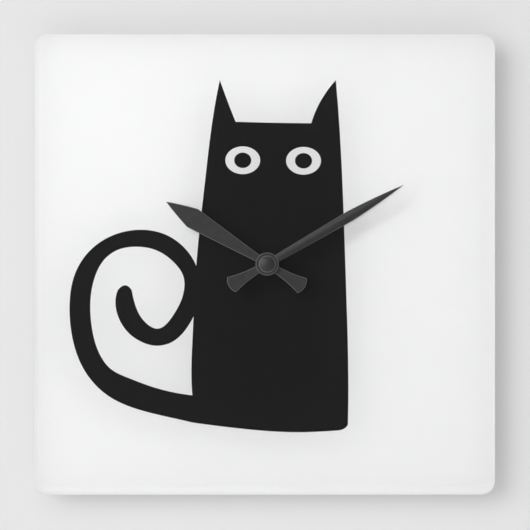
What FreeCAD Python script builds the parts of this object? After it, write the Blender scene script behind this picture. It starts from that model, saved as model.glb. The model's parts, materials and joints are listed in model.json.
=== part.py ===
import FreeCAD, Part
import math
import os

import Sketcher

# A square wall clock: a clear panel printed on its back with a sitting cat, carried on the
# threaded bushing of a battery movement, with two hands and a centre cap in front.
#
# The origin is on the axis of the hands, in the plane of the wall. +X is to the right, -Y points
# into the room and +Z is up. A piece's depth is its distance from the wall, so depth is -Y.
# Angles are counted anticlockwise from +X as the room sees them.

doc = FreeCAD.newDocument("CatTailClock")
dims = doc.addObject("Spreadsheet::Sheet", "Dims")

DIMENSIONS = {
    # clear face panel, and the two films printed on its back
    "panel_side": 273.0,
    "panel_thick": 5.0,
    "panel_corner": 8.3,
    "panel_aside": -1.4,
    "panel_drop": 0.25,
    "panel_edge": 3.0,
    "panel_hole": 4.3,
    "ink_thick": 0.1,
    "backing_thick": 0.3,
    "figure_scale": 0.9925,
    "figure_aside": 0.3,
    # stack between the case and the hands
    "hanger_thick": 0.8,
    "gasket_thick": 1.0,
    "gasket_radius": 12.0,
    "washer_thick": 0.4,
    "washer_radius": 6.7,
    "nut_thick": 2.0,
    "nut_flats": 11.0,
    "stud_radius": 4.0,
    "stud_hole": 4.05,
    "stud_front": 26.0,
    "stud_bore": 2.56,
    "stud_flange_radius": 4.8,
    "stud_flange_thick": 1.0,
    # movement case
    "case_depth": 16.0,
    "case_half": 28.2,
    "case_top": 23.2,
    "case_bottom": -33.2,
    "case_corner": 3.0,
    "case_wall": 1.2,
    "lid_thick": 1.4,
    "lid_gap": 0.1,
    "mark_depth": 0.3,
    "mark_half": 1.9,
    "mark_line": 0.35,
    "mark_x": 22.0,
    "mark_z": -10.8,
    "arrow_inside": 6.1,
    "arrow_outside": 6.8,
    "arrow_start": 60.0,
    "arrow_end": 190.0,
    "arrow_head": 1.1,
    "arrow_lap": 3.0,
    "arrow_length": 16.0,
    "latch_x": 14.0,
    "latch_half": 3.0,
    "latch_tall": 1.6,
    "latch_depth": 0.6,
    "bay_top": -15.6,
    "bay_floor": -32.0,
    "slot_width": 0.6,
    "slot_depth": 9.2,
    "notch_half": 8.0,
    "notch_depth": 7.0,
    # plates, and the posts that hold them apart
    "plate_half": 26.2,
    "plate_top": 21.6,
    "plate_bottom": -13.8,
    "plate_thick": 0.8,
    "rear_plate_back": 3.9,
    "middle_plate_back": 8.0,
    "post_radius": 1.5,
    "post_x": 24.3,
    "post_top": 19.8,
    "post_bottom": -12.3,
    # places of the wheels' axes
    "third_reach": 9.18,
    "third_angle": 100.0,
    "fifth_reach": 6.0,
    "fifth_angle": 215.0,
    "rotor_reach": 5.6,
    "rotor_angle": 170.0,
    "minute_reach": 6.0,
    "minute_angle": -20.0,
    "setting_reach": 6.75,
    # toothed wheels
    "rotor_module": 0.16,
    "fifth_module": 0.2,
    "second_module": 0.216,
    "third_module": 0.204,
    "cannon_module": 0.25,
    "hour_module": 0.24,
    "pressure_angle": 25.0,
    "addendum": 0.8,
    "dedendum": 1.1,
    "tooth_thinning": 0.12,
    "leaves": 10.0,
    "cannon_leaves": 12.0,
    "setting_leaves": 18.0,
    "fifth_teeth": 60.0,
    "second_teeth": 50.0,
    "third_teeth": 75.0,
    "centre_teeth": 80.0,
    "minute_teeth": 36.0,
    "hour_teeth": 40.0,
    "wheel_thick": 0.7,
    "pinion_extra": 0.1,
    "rim_width": 0.9,
    "web_recess": 0.2,
    "hub_modules": 6.0,
    # back faces of the wheels' layers, and of what turns with them
    "fifth_level": 4.9,
    "second_level": 5.9,
    "third_level": 7.0,
    "centre_level": 9.1,
    "minute_level": 10.6,
    "hour_level": 11.8,
    "arbor_back": 4.0,
    "arbor_front": 8.7,
    "pivot_radius": 0.3,
    "third_radius": 0.4,
    "third_front": 15.3,
    "third_clearance": 1.4,
    "second_radius": 0.5,
    "second_front": 31.0,
    "rotor_back": 0.8,
    "magnet_radius": 2.2,
    "magnet_back": 2.0,
    "magnet_thick": 1.8,
    "running_gap": 0.05,
    "cannon_seat": 1.0,
    "cannon_back": 9.0,
    "cannon_collar": 2.4,
    "cannon_bore": 0.6,
    "clutch_thick": 0.2,
    "minute_pipe": 1.75,
    "minute_pipe_front": 30.0,
    "minute_post": 0.6,
    "minute_post_back": 10.5,
    "minute_boss": 1.0,
    "minute_boss_back": 12.9,
    "hour_pipe": 2.5,
    "hour_pipe_front": 27.4,
    "hour_shoulder": 3.2,
    "hour_shoulder_front": 13.7,
    # time-setting knob
    "shaft_radius": 1.0,
    "shaft_front": 14.6,
    "shaft_tip": 15.3,
    "shaft_tip_radius": 0.6,
    "knob_radius": 4.6,
    "knob_hole": 5.0,
    "knob_back": 0.2,
    "knob_thick": 2.0,
    "knob_floor": 0.8,
    "knurl_radius": 0.35,
    "knurl_count": 24.0,
    # stepping motor and electronics
    "stator_back": 2.5,
    "stator_thick": 0.8,
    "stator_hole": 2.6,
    "stator_left": -23.5,
    "stator_low": -10.4,
    "stator_high": 18.1,
    "stator_arm_low": 3.2,
    "stator_arm_high": 2.5,
    "stator_ring": 3.9,
    "stator_ring_top": 4.4,
    "stator_neck": 2.0,
    "stator_neck_left": 2.8,
    "stator_neck_top": 6.6,
    "coil_x": -20.8,
    "coil_low": -6.5,
    "coil_high": 14.5,
    "coil_radius": 2.25,
    "coil_wound": 2.1,
    "coil_tube": 1.2,
    "coil_bore": 0.95,
    "coil_cheek": 0.6,
    "core_half": 0.8,
    "core_thick": 0.8,
    "core_low": -9.9,
    "core_high": 17.6,
    "board_thick": 0.8,
    "board_left": 9.2,
    "board_low": 2.6,
    "board_high": 15.8,
    "board_leg_left": 18.2,
    "board_leg_right": 22.5,
    "board_leg_low": -13.9,
    "board_step": -9.0,
    "crystal_x": 12.5,
    "crystal_z": 13.4,
    "dome_x": 19.6,
    "dome_z": 6.6,
    "crystal_radius": 0.75,
    "crystal_length": 5.1,
    "dome_radius": 3.0,
    "dome_rise": 1.0,
    # battery and its contacts
    "cell_radius": 7.0,
    "sleeve_radius": 7.15,
    "cell_length": 49.5,
    "cell_edge": 0.6,
    "nub_radius": 2.75,
    "nub_length": 1.0,
    "cell_back": 0.35,
    "cell_x": -24.05,
    "cell_z": -23.8,
    "strip_thick": 0.45,
    "strip_back": 3.0,
    "strip_width": 6.0,
    "strip_below": 5.0,
    "strip_top": 8.0,
    "foot_thick": 0.4,
    "foot_right": 21.0,
    "coil_wire": 0.3,
    "spring_radius": 3.2,
    "spring_pitch": 0.9,
    "spring_bends": 24.0,
    # hanger strap
    "hanger_half": 10.0,
    "hanger_bottom": -12.0,
    "hanger_shelf": 24.6,
    "hanger_top": 56.0,
    "hanger_back": 3.2,
    "hanger_bend": 1.6,
    "keyhole_z": 40.0,
    "keyhole_radius": 4.25,
    "keyhole_slot": 2.0,
    "keyhole_end": 1.96,
    "keyhole_rise": 8.0,
    # hands and cap
    "hour_rest": 148.33,
    "minute_rest": 30.12,
    "tail_reach": 24.2,
    "tail_half": 5.1,
    "tail_waist": 2.2,
    "tail_flank": 75.0,
    "tail_end": 7.8,
    "hour_root": 1.6,
    "hour_shoulder_x": 51.8,
    "hour_shoulder_half": 6.2,
    "hour_tip": 70.2,
    "hour_flank": 180.0,
    "hour_round": 2.5,
    "hour_back": 26.5,
    "hour_thick": 0.5,
    "hour_hub": 6.0,
    "hour_hub_thick": 0.7,
    "hour_collet": 3.4,
    "hour_collet_back": 26.15,
    "minute_root": 2.2,
    "minute_shoulder_x": 56.5,
    "minute_shoulder_half": 3.2,
    "minute_tip": 93.2,
    "minute_flank": 400.0,
    "minute_back": 28.7,
    "minute_tail_thick": 0.5,
    "blade_thick": 1.2,
    "blade_dome": 6.8,
    "minute_hub": 6.8,
    "minute_hub_thick": 1.3,
    "minute_collet": 2.6,
    "minute_collet_back": 28.0,
    "cap_radius": 4.9,
    "cap_wall": 0.9,
    "cap_front": 32.0,
    "cap_room": 31.1,
    "cap_room_radius": 2.8,
}

# Depths of the faces that follow from the stack, as expressions on the sheet.
HANGER_FRONT = "(Dims.case_depth + Dims.hanger_thick)"
GASKET_FRONT = f"({HANGER_FRONT} + Dims.gasket_thick)"
PANEL_BACK = f"({GASKET_FRONT} + Dims.backing_thick)"
PANEL_FRONT = f"({PANEL_BACK} + Dims.panel_thick)"
WASHER_FRONT = f"({PANEL_FRONT} + Dims.washer_thick)"
CASE_INSIDE = "(Dims.case_depth - Dims.case_wall)"
REAR_PLATE_FRONT = "(Dims.rear_plate_back + Dims.plate_thick)"
MIDDLE_PLATE_FRONT = "(Dims.middle_plate_back + Dims.plate_thick)"
STATOR_FRONT = "(Dims.stator_back + Dims.stator_thick)"
BOARD_BACK = "(Dims.rear_plate_back - Dims.board_thick)"
HUB_FRONT = "(Dims.minute_back + Dims.minute_hub_thick)"


# Two places nearer than this are the same place.
CLOSE = 1e-3


def on_circle(reach, angle, start=("0", "0")):
    """Place at a distance and an angle from another, as x and z expressions."""
    x = f"({start[0]} + {reach} * cos({angle}))"
    z = f"({start[1]} + {reach} * sin({angle}))"
    return x, z


CENTRE = ("0", "0")
THIRD = on_circle("Dims.third_reach", "Dims.third_angle")
FIFTH = on_circle("Dims.fifth_reach", "Dims.fifth_angle")
ROTOR = on_circle("Dims.rotor_reach", "Dims.rotor_angle", FIFTH)
MINUTE = on_circle("Dims.minute_reach", "Dims.minute_angle")
SETTING = on_circle("Dims.setting_reach", "Dims.minute_angle", MINUTE)
POSTS = [
    (x, z)
    for x in ("Dims.post_x", "-Dims.post_x")
    for z in ("Dims.post_top", "Dims.post_bottom")
]

# Outline of the cat, in millimetres from the axis of the hands. Each stretch is a smooth curve.
LEFT_SIDE = [(-42.7, -1.0), (-41.0, 18.0), (-37.6, 48.0), (-33.8, 80.2), (-28.6, 109.9)]
LEFT_EAR = [(-28.6, 109.9), (-24.2, 97.8), (-19.2, 85.0)]
HEAD_TOP = [(-19.2, 85.0), (3.4, 84.4), (26.0, 84.1)]
RIGHT_EAR = [(26.0, 84.1), (31.9, 97.9), (40.7, 109.9)]
RIGHT_SIDE = [(40.7, 109.9), (43.0, 80.2), (45.8, 18.0), (46.9, -15.6), (48.2, -73.0), (47.9, -96.0)]
UNDERSIDE = [(47.9, -96.0), (45.5, -98.4), (39.3, -99.6), (24.1, -100.4), (-12.2, -98.7), (-44.8, -94.7)]
TAIL_OUTSIDE = [
    (-44.8, -94.7),
    (-75.5, -87.4),
    (-96.6, -77.8),
    (-109.5, -63.5),
    (-116.5, -45.0),
    (-118.4, -25.1),
    (-115.0, -5.5),
    (-105.9, 8.4),
    (-92.0, 17.4),
    (-76.0, 20.5),
    (-61.9, 18.0),
    (-49.5, 9.5),
    (-42.7, -1.0),
]
# The light space inside the curled tail: up its inner side to the blunt tip, then back outside
# the curl to the body, and down along the body.
TAIL_INSIDE = [
    (-45.0, -78.4),
    (-58.0, -76.3),
    (-70.0, -73.0),
    (-83.0, -68.1),
    (-94.0, -62.4),
    (-101.0, -52.5),
    (-105.2, -37.0),
    (-105.8, -20.4),
    (-103.0, -7.0),
    (-96.8, 3.6),
    (-89.0, 8.7),
    (-78.4, 10.4),
    (-67.0, 8.4),
    (-56.5, 1.5),
    (-50.2, -8.0),
    (-51.2, -20.4),
    (-56.5, -30.7),
    (-65.9, -38.6),
    (-73.2, -34.7),
    (-78.9, -25.1),
    (-81.2, -15.6),
]
TAIL_TIP = [(-81.2, -15.6), (-84.8, -12.7), (-89.6, -15.6)]
CURL_OUTSIDE = [
    (-89.6, -15.6),
    (-91.0, -23.5),
    (-88.8, -32.7),
    (-83.0, -41.3),
    (-75.0, -46.7),
    (-65.9, -48.8),
    (-56.0, -45.9),
    (-49.3, -39.5),
    (-44.3, -31.3),
]
BODY_INSIDE = [(-44.3, -31.3), (-45.3, -52.0), (-45.6, -65.9), (-45.0, -78.4)]
# Each eye is a light ring around a dark pupil: centre x and z.
EYES = [(-14.9, 62.0), (21.4, 61.7)]
EYE_HALF = (10.4, 8.3)
PUPIL_HALF = (5.1, 4.6)


def fill_sheet():
    """One row of the sheet for each driving dimension."""
    for row, (alias, value) in enumerate(DIMENSIONS.items(), start=1):
        dims.set(f"A{row}", alias)
        dims.set(f"B{row}", str(value))
        dims.setAlias(f"B{row}", alias)
    doc.recompute()


def size(expression):
    """The value of an expression on the sheet, in millimetres, degrees or a count."""
    return float(dims.evalExpression(expression))


# ---------------------------------------------------------------- sketches and features


def new_body(label):
    body = doc.addObject("PartDesign::Body", label)
    body.Label = label
    return body


def new_sketch(body, name, depth="0", role="XZ_Plane", shift="AttachmentOffset.Base.z"):
    """A sketch on an origin plane. On XZ_Plane it faces the room, at the given depth."""
    sketch = body.newObject("Sketcher::SketchObject", name)
    plane = next(item for item in body.Origin.OriginFeatures if item.Role == role)
    sketch.AttachmentSupport = [(plane, "")]
    sketch.MapMode = "FlatFace"
    sketch.setExpression(shift, depth)
    return sketch


def hold(sketch, kind, references, expression):
    """Adds a constraint whose value follows the sheet."""
    index = sketch.addConstraint(Sketcher.Constraint(kind, *references, size(expression)))
    sketch.setExpression(f"Constraints[{index}]", expression)


def hold_point(sketch, geometry, end, x, y):
    """Ties a point to its place from the sketch's origin."""
    for kind, value, axis in (("DistanceX", x, -2), ("DistanceY", y, -1)):
        if size(value) == 0:
            sketch.addConstraint(Sketcher.Constraint("PointOnObject", geometry, end, axis))
        else:
            hold(sketch, kind, (-1, 1, geometry, end), value)


def add_circle(sketch, radius, x="0", y="0"):
    centre = FreeCAD.Vector(size(x), size(y), 0)
    circle = sketch.addGeometry(Part.Circle(centre, FreeCAD.Vector(0, 0, 1), size(radius)))
    hold(sketch, "Radius", (circle,), radius)
    hold_point(sketch, circle, 3, x, y)


def add_outline(sketch, corners):
    """A closed outline. A corner is x, y, and for an arc to the next one its radius and side.

    Side 1 bulges to the right of the way round, which is outwards anticlockwise, and -1 inwards.
    """
    spots = [FreeCAD.Vector(size(corner[0]), size(corner[1]), 0) for corner in corners]
    ends = []
    for corner, start, end in zip(corners, spots, spots[1:] + spots[:1]):
        if len(corner) == 2:
            piece = sketch.addGeometry(Part.LineSegment(start, end))
        else:
            radius, side = size(corner[2]), corner[3]
            run = end - start
            rise = radius - math.sqrt(radius**2 - run.Length**2 / 4)
            right = FreeCAD.Vector(run.y, -run.x, 0).normalize()
            piece = sketch.addGeometry(Part.Arc(start, (start + end) / 2 + right * side * rise, end))
            hold(sketch, "Radius", (piece,), corner[2])
        first = 1 if sketch.getPoint(piece, 1).isEqual(start, 1e-6) else 2
        ends.append((piece, first, 3 - first))
    for (piece, first, last), (following, start, _), corner in zip(ends, ends[1:] + ends[:1], corners):
        sketch.addConstraint(Sketcher.Constraint("Coincident", piece, last, following, start))
        hold_point(sketch, piece, first, corner[0], corner[1])


def dome_radius(half, rise):
    """Radius of the ball that a dome of this half width and rise is cut from."""
    return f"(({half}) ^ 2 + ({rise}) ^ 2) / (2 * ({rise}))"


def box(x_low, x_high, y_low, y_high):
    """Corners of a rectangle."""
    return [(x_low, y_low), (x_high, y_low), (x_high, y_high), (x_low, y_high)]


def rounded_box(x_low, x_high, y_low, y_high, radius):
    """Corners of a rectangle with rounded corners."""
    return [
        (f"{x_low} + {radius}", y_low),
        (f"{x_high} - {radius}", y_low, radius, 1),
        (x_high, f"{y_low} + {radius}"),
        (x_high, f"{y_high} - {radius}", radius, 1),
        (f"{x_high} - {radius}", y_high),
        (f"{x_low} + {radius}", y_high, radius, 1),
        (x_low, f"{y_high} - {radius}"),
        (x_low, f"{y_low} + {radius}", radius, 1),
    ]


def pad(body, sketch, length):
    """Grows a sketch towards the room."""
    feature = body.newObject("PartDesign::Pad", f"{sketch.Name}_pad")
    feature.Profile = sketch
    feature.setExpression("Length", length)
    doc.recompute()
    return feature


def pocket(body, sketch, length):
    """Cuts a sketch back towards the wall."""
    before = body.Shape.Volume
    feature = body.newObject("PartDesign::Pocket", f"{sketch.Name}_pocket")
    feature.Profile = sketch
    feature.setExpression("Length", length)
    doc.recompute()
    if not body.Shape.Volume < before:
        raise ValueError(f"{body.Label}: {feature.Name} cuts nothing")
    return feature


def pad_outline(body, name, depth, length, corners, holes=()):
    """Pads an outline with round holes, each a radius with its x and z."""
    sketch = new_sketch(body, name, depth)
    add_outline(sketch, corners)
    for radius, (x, z) in holes:
        add_circle(sketch, radius, x, z)
    return pad(body, sketch, length)


def pad_circles(body, name, depth, length, radius, places):
    sketch = new_sketch(body, name, depth)
    for x, z in places:
        add_circle(sketch, radius, x, z)
    return pad(body, sketch, length)


def pocket_outline(body, name, depth, length, corners):
    sketch = new_sketch(body, name, depth)
    add_outline(sketch, corners)
    return pocket(body, sketch, length)


def pocket_circles(body, name, depth, length, radius, places):
    sketch = new_sketch(body, name, depth)
    for x, z in places:
        add_circle(sketch, radius, x, z)
    return pocket(body, sketch, length)


def round_edges(body, name, radius, chosen):
    """Fillets the edges whose middle and ends pass a test."""
    base = body.Tip
    edges = [f"Edge{index}" for index, edge in enumerate(base.Shape.Edges, 1) if chosen(edge)]
    feature = body.newObject("PartDesign::Fillet", name)
    feature.Base = (base, edges)
    feature.setExpression("Radius", radius)
    doc.recompute()


def turned(label, outline, place=CENTRE, turn=None, depth="0"):
    """A turned piece: its outline is in radius and depth, and it turns about its own -Y axis."""
    body = new_body(label)
    sketch = new_sketch(body, f"{label}_profile", role="XY_Plane")
    add_outline(sketch, [(radius, f"-({level})", *arc) for radius, level, *arc in outline])
    feature = body.newObject("PartDesign::Revolution", f"{label}_turn")
    feature.Profile = sketch
    feature.ReferenceAxis = (sketch, ["V_Axis"])
    feature.Angle = 360
    if turn:
        body.Placement.Rotation = turn
    body.setExpression("Placement.Base.x", place[0])
    body.setExpression("Placement.Base.y", f"-({depth})")
    body.setExpression("Placement.Base.z", place[1])
    return body


def ring(label, inner, outer, back, front, place=CENTRE):
    """A plain ring or tube between two depths."""
    return turned(label, [(inner, back), (outer, back), (outer, front), (inner, front)], place)


# ---------------------------------------------------------------- face


def square_face(body, name, depth, length):
    """The face's outline, which lies a little to one side of the hole it hangs by."""
    half, aside, drop = "Dims.panel_side / 2", "Dims.panel_aside", "Dims.panel_drop"
    left, right = f"{aside} - {half}", f"{aside} + {half}"
    low, high = f"-{drop} - {half}", f"-{drop} + {half}"
    corners = rounded_box(left, right, low, high, "Dims.panel_corner")
    pad_outline(body, name, depth, length, corners, [("Dims.panel_hole", CENTRE)])


def face_panel():
    """Clear plate with rounded corners and a rounded front edge."""
    body = new_body("face_panel")
    square_face(body, "panel_outline", PANEL_BACK, "Dims.panel_thick")
    front = -size(PANEL_FRONT)
    hole = size("Dims.panel_hole")

    def on_front_edge(edge):
        box_ = edge.BoundBox
        flat = abs(box_.YMin - front) < CLOSE and abs(box_.YMax - front) < CLOSE
        return flat and max(abs(box_.XMax), abs(box_.ZMax), abs(box_.XMin)) > hole + 1

    round_edges(body, "front_round", "Dims.panel_edge", on_front_edge)
    return body


def on_print(x, z):
    """A point of the figure, at the back of the ink."""
    scale = size("Dims.figure_scale")
    level = size(f"{PANEL_BACK} - Dims.ink_thick")
    return FreeCAD.Vector(x * scale + size("Dims.figure_aside"), -level, z * scale)


def smooth(points):
    """A curve through points given as x and z."""
    curve = Part.BSplineCurve()
    curve.interpolate([on_print(x, z) for x, z in points])
    return curve.toShape()


def oval(centre, half):
    """A filled ellipse, wider than tall."""
    scale = size("Dims.figure_scale")
    middle = on_print(*centre)
    side = middle + FreeCAD.Vector(half[0] * scale, 0, 0)
    top = middle + FreeCAD.Vector(0, 0, half[1] * scale)
    return Part.Face(Part.Wire(Part.Ellipse(side, top, middle).toShape()))


def filled(stretches):
    return Part.Face(Part.Wire([smooth(points) for points in stretches]))


def cat_print():
    """Dark ink in the shape of a sitting cat, seen through the panel."""
    figure = filled([LEFT_SIDE, LEFT_EAR, HEAD_TOP, RIGHT_EAR, RIGHT_SIDE, UNDERSIDE, TAIL_OUTSIDE])
    figure = figure.cut(filled([TAIL_INSIDE, TAIL_TIP, CURL_OUTSIDE, BODY_INSIDE]))
    for eye in EYES:
        figure = figure.cut(oval(eye, EYE_HALF))
    pupils = [oval(eye, PUPIL_HALF) for eye in EYES]
    forward = FreeCAD.Vector(0, -size("Dims.ink_thick"), 0)
    solids = [face.extrude(forward) for face in figure.Faces + pupils]
    level = FreeCAD.Vector(0, -size(GASKET_FRONT), 0)
    forward_axis = FreeCAD.Vector(0, -1, 0)
    bore = Part.makeCylinder(size("Dims.panel_hole"), size("Dims.panel_thick"), level, forward_axis)
    ink = doc.addObject("Part::Feature", "cat_print")
    ink.Label = "cat_print"
    ink.Shape = Part.makeCompound([solid.cut(bore).Solids[0] for solid in solids])
    return ink


def backing_print(ink):
    """White film behind the ink, which fills the light areas too."""
    blank = new_body("backing_blank")
    square_face(blank, "backing_outline", GASKET_FRONT, "Dims.backing_thick")
    film = doc.addObject("Part::Cut", "backing_print")
    film.Label = "backing_print"
    film.Base = blank
    film.Tool = ink
    return film


# ---------------------------------------------------------------- clamping stack


def clamp_nut():
    """Thin hexagonal nut on the bushing."""
    body = new_body("clamp_nut")
    corner = "Dims.nut_flats / sqrt(3)"
    corners = [on_circle(corner, str(angle)) for angle in range(0, 360, 60)]
    bore = [("Dims.stud_radius", CENTRE)]
    pad_outline(body, "nut_outline", WASHER_FRONT, "Dims.nut_thick", corners, bore)
    return body


def threaded_bushing():
    """Flanged tube that carries the clock face and guides the hour pipe."""
    return turned(
        "threaded_bushing",
        [
            ("Dims.stud_bore", f"{CASE_INSIDE} - Dims.stud_flange_thick"),
            ("Dims.stud_flange_radius", f"{CASE_INSIDE} - Dims.stud_flange_thick"),
            ("Dims.stud_flange_radius", CASE_INSIDE),
            ("Dims.stud_radius", CASE_INSIDE),
            ("Dims.stud_radius", "Dims.stud_front"),
            ("Dims.stud_bore", "Dims.stud_front"),
        ],
    )


def hanger_plate():
    """Strap on the bushing, bent back over the case to a keyhole near the wall."""
    body = new_body("hanger_plate")
    side = new_sketch(body, "hanger_side", "-Dims.hanger_half", "YZ_Plane")
    back = "Dims.hanger_back"
    thick = "Dims.hanger_thick"
    # in this plane the first coordinate is Y, the opposite of depth
    add_outline(
        side,
        [
            ("-Dims.case_depth", "Dims.hanger_bottom"),
            ("-Dims.case_depth", "Dims.hanger_shelf"),
            (f"-{back}", "Dims.hanger_shelf"),
            (f"-{back}", "Dims.hanger_top"),
            (f"-{back} - {thick}", "Dims.hanger_top"),
            (f"-{back} - {thick}", f"Dims.hanger_shelf + {thick}"),
            (f"-{HANGER_FRONT}", f"Dims.hanger_shelf + {thick}"),
            (f"-{HANGER_FRONT}", "Dims.hanger_bottom"),
        ],
    )
    pad(body, side, "2 * Dims.hanger_half")
    shelf = size("Dims.hanger_shelf")
    shelf_top = size(f"Dims.hanger_shelf + {thick}")

    def bend(edge, inner):
        across = abs(edge.BoundBox.XLength - 2 * size("Dims.hanger_half")) < CLOSE
        y, z = edge.CenterOfGravity.y, edge.CenterOfGravity.z
        below = abs(y + size("Dims.case_depth")) < CLOSE and abs(z - shelf) < CLOSE
        above = abs(y + size(f"{back} + {thick}")) < CLOSE and abs(z - shelf_top) < CLOSE
        near_shelf = shelf - CLOSE < z < shelf_top + CLOSE
        return across and near_shelf and (below or above) == inner

    round_edges(body, "inner_bends", f"Dims.hanger_bend - {thick}", lambda edge: bend(edge, True))
    round_edges(body, "outer_bends", "Dims.hanger_bend", lambda edge: bend(edge, False))
    pocket_circles(body, "bushing_hole", HANGER_FRONT, "Dims.hanger_thick", "Dims.stud_hole", [CENTRE])
    front = f"{back} + {thick}"
    slot = rounded_box(
        "-Dims.keyhole_slot",
        "Dims.keyhole_slot",
        "Dims.keyhole_z",
        "Dims.keyhole_z + Dims.keyhole_rise + Dims.keyhole_slot",
        "Dims.keyhole_end",
    )
    pocket_outline(body, "keyhole_neck", front, thick, slot)
    pocket_circles(body, "keyhole_entry", front, thick, "Dims.keyhole_radius", [("0", "Dims.keyhole_z")])

    def at_top(edge):
        long_way = abs(edge.BoundBox.YLength - size(thick)) < CLOSE and edge.BoundBox.XLength < CLOSE
        return long_way and abs(edge.CenterOfGravity.z - size("Dims.hanger_top")) < CLOSE

    round_edges(body, "top_corners", "Dims.case_corner", at_top)
    return body


# ---------------------------------------------------------------- movement case


def case_front():
    """Moulded case: walls, front, battery bay and the posts inside."""
    body = new_body("case_front")
    half, wall = "Dims.case_half", "Dims.case_wall"
    outside = rounded_box(f"-{half}", half, "Dims.case_bottom", "Dims.case_top", "Dims.case_corner")
    pad_outline(body, "case_outline", "0", "Dims.case_depth", outside)
    room = box(f"-{half} + {wall}", f"{half} - {wall}", f"Dims.bay_top + {wall}", f"Dims.case_top - {wall}")
    pocket_outline(body, "works_room", CASE_INSIDE, CASE_INSIDE, room)
    bay = box(f"-{half} + {wall}", f"{half} - {wall}", "Dims.bay_floor", "Dims.bay_top")
    pocket_outline(body, "battery_bay", CASE_INSIDE, CASE_INSIDE, bay)
    edge = f"({half} - {wall})"
    slots = [(f"-{edge}", f"-{edge} + Dims.slot_width"), (f"{edge} - Dims.slot_width", edge)]
    for index, (low, high) in enumerate(slots):
        slot = box(low, high, "Dims.bay_top", f"Dims.bay_top + {wall}")
        pocket_outline(body, f"contact_slot_{index}", "Dims.slot_depth", "Dims.slot_depth", slot)
    notch = box("-Dims.notch_half", "Dims.notch_half", "Dims.case_bottom", "Dims.bay_floor")
    pocket_outline(body, "finger_notch", "Dims.notch_depth", "Dims.notch_depth", notch)
    post_length = f"{CASE_INSIDE} - {MIDDLE_PLATE_FRONT}"
    pad_circles(body, "posts", MIDDLE_PLATE_FRONT, post_length, "Dims.post_radius", POSTS)
    boss_length = f"{CASE_INSIDE} - Dims.minute_boss_back"
    pad_circles(body, "minute_boss", "Dims.minute_boss_back", boss_length, "Dims.minute_boss", [MINUTE])
    stub_length = "Dims.minute_boss_back - Dims.minute_post_back"
    pad_circles(body, "minute_post_pin", "Dims.minute_post_back", stub_length, "Dims.minute_post", [MINUTE])
    pocket_circles(body, "stud_opening", "Dims.case_depth", wall, "Dims.stud_hole", [CENTRE])
    bearing = "Dims.third_radius + Dims.running_gap"
    bearing_floor = "Dims.third_front + Dims.running_gap"
    bearing_depth = f"{bearing_floor} - {CASE_INSIDE}"
    pocket_circles(body, "third_bearing", bearing_floor, bearing_depth, bearing, [THIRD])
    bearing = "Dims.shaft_tip_radius + Dims.running_gap"
    bearing_floor = "Dims.shaft_tip + Dims.running_gap"
    bearing_depth = f"{bearing_floor} - {CASE_INSIDE}"
    pocket_circles(body, "shaft_bearing", bearing_floor, bearing_depth, bearing, [SETTING])
    front = -size("Dims.case_depth")
    stud = size("Dims.stud_hole")

    def rim(edge):
        flat = abs(edge.BoundBox.YMin - front) < CLOSE and abs(edge.BoundBox.YMax - front) < CLOSE
        return flat and edge.BoundBox.Center.Length > stud + abs(front)

    round_edges(body, "case_rim", f"{wall} / 2", rim)
    return body


def lid_marks():
    """Outlines sunk in the lid: the battery's two poles and the way the knob turns."""
    half, line, low = "Dims.mark_half", "Dims.mark_line", "Dims.mark_z"
    plus = "Dims.mark_x"
    minus = "-Dims.mark_x"
    start, end = "Dims.arrow_start", "Dims.arrow_end"
    root = f"({start} + Dims.arrow_lap)"
    inside, outside = "Dims.arrow_inside", "Dims.arrow_outside"
    middle = f"(({inside} + {outside}) / 2)"
    shaft = [
        on_circle(outside, start, SETTING),
        (*on_circle(outside, end, SETTING), outside, 1),
        on_circle(inside, end, SETTING),
        (*on_circle(inside, start, SETTING), inside, -1),
    ]
    head = [
        on_circle(f"({middle} + Dims.arrow_head)", root, SETTING),
        on_circle(middle, f"{start} - Dims.arrow_length", SETTING),
        on_circle(f"({middle} - Dims.arrow_head)", root, SETTING),
    ]
    return {
        "plus_across": box(f"{plus} - {half}", f"{plus} + {half}", f"{low} - {line}", f"{low} + {line}"),
        "plus_upright": box(f"{plus} - {line}", f"{plus} + {line}", f"{low} - {half}", f"{low} + {half}"),
        "minus_across": box(f"{minus} - {half}", f"{minus} + {half}", f"{low} - {line}", f"{low} + {line}"),
        "arrow_shaft": shaft,
        "arrow_head": head,
    }


def case_back():
    """Lid over the works, flush with the case, with the knob's opening."""
    body = new_body("case_back")
    gap = "Dims.case_wall + Dims.lid_gap"
    half = f"(Dims.case_half - ({gap}))"
    low = f"Dims.bay_top + {gap}"
    high = f"Dims.case_top - ({gap})"
    outline = rounded_box(f"-{half}", half, low, high, "Dims.case_wall")
    pad_outline(body, "lid_outline", "0", "Dims.lid_thick", outline, [("Dims.knob_hole", SETTING)])
    post_length = "Dims.rear_plate_back - Dims.lid_thick"
    pad_circles(body, "lid_posts", "Dims.lid_thick", post_length, "Dims.post_radius", POSTS)
    bearing_depth = "Dims.lid_thick - Dims.rotor_back + Dims.running_gap"
    bearing = "Dims.pivot_radius + Dims.running_gap"
    pocket_circles(body, "rotor_bearing", "Dims.lid_thick", bearing_depth, bearing, [ROTOR])
    sunk = "Dims.mark_depth"
    for name, outline in lid_marks().items():
        pocket_outline(body, name, sunk, sunk, outline)
    latch_low = f"{high} - Dims.latch_tall"
    for index, middle in enumerate(("Dims.latch_x", "-Dims.latch_x")):
        latch = box(f"{middle} - Dims.latch_half", f"{middle} + Dims.latch_half", latch_low, high)
        pocket_outline(body, f"latch_{index}", "Dims.latch_depth", "Dims.latch_depth", latch)
    return body


def plate_outline():
    half = "Dims.plate_half"
    return rounded_box(f"-{half}", half, "Dims.plate_bottom", "Dims.plate_top", "Dims.post_radius")


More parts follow.
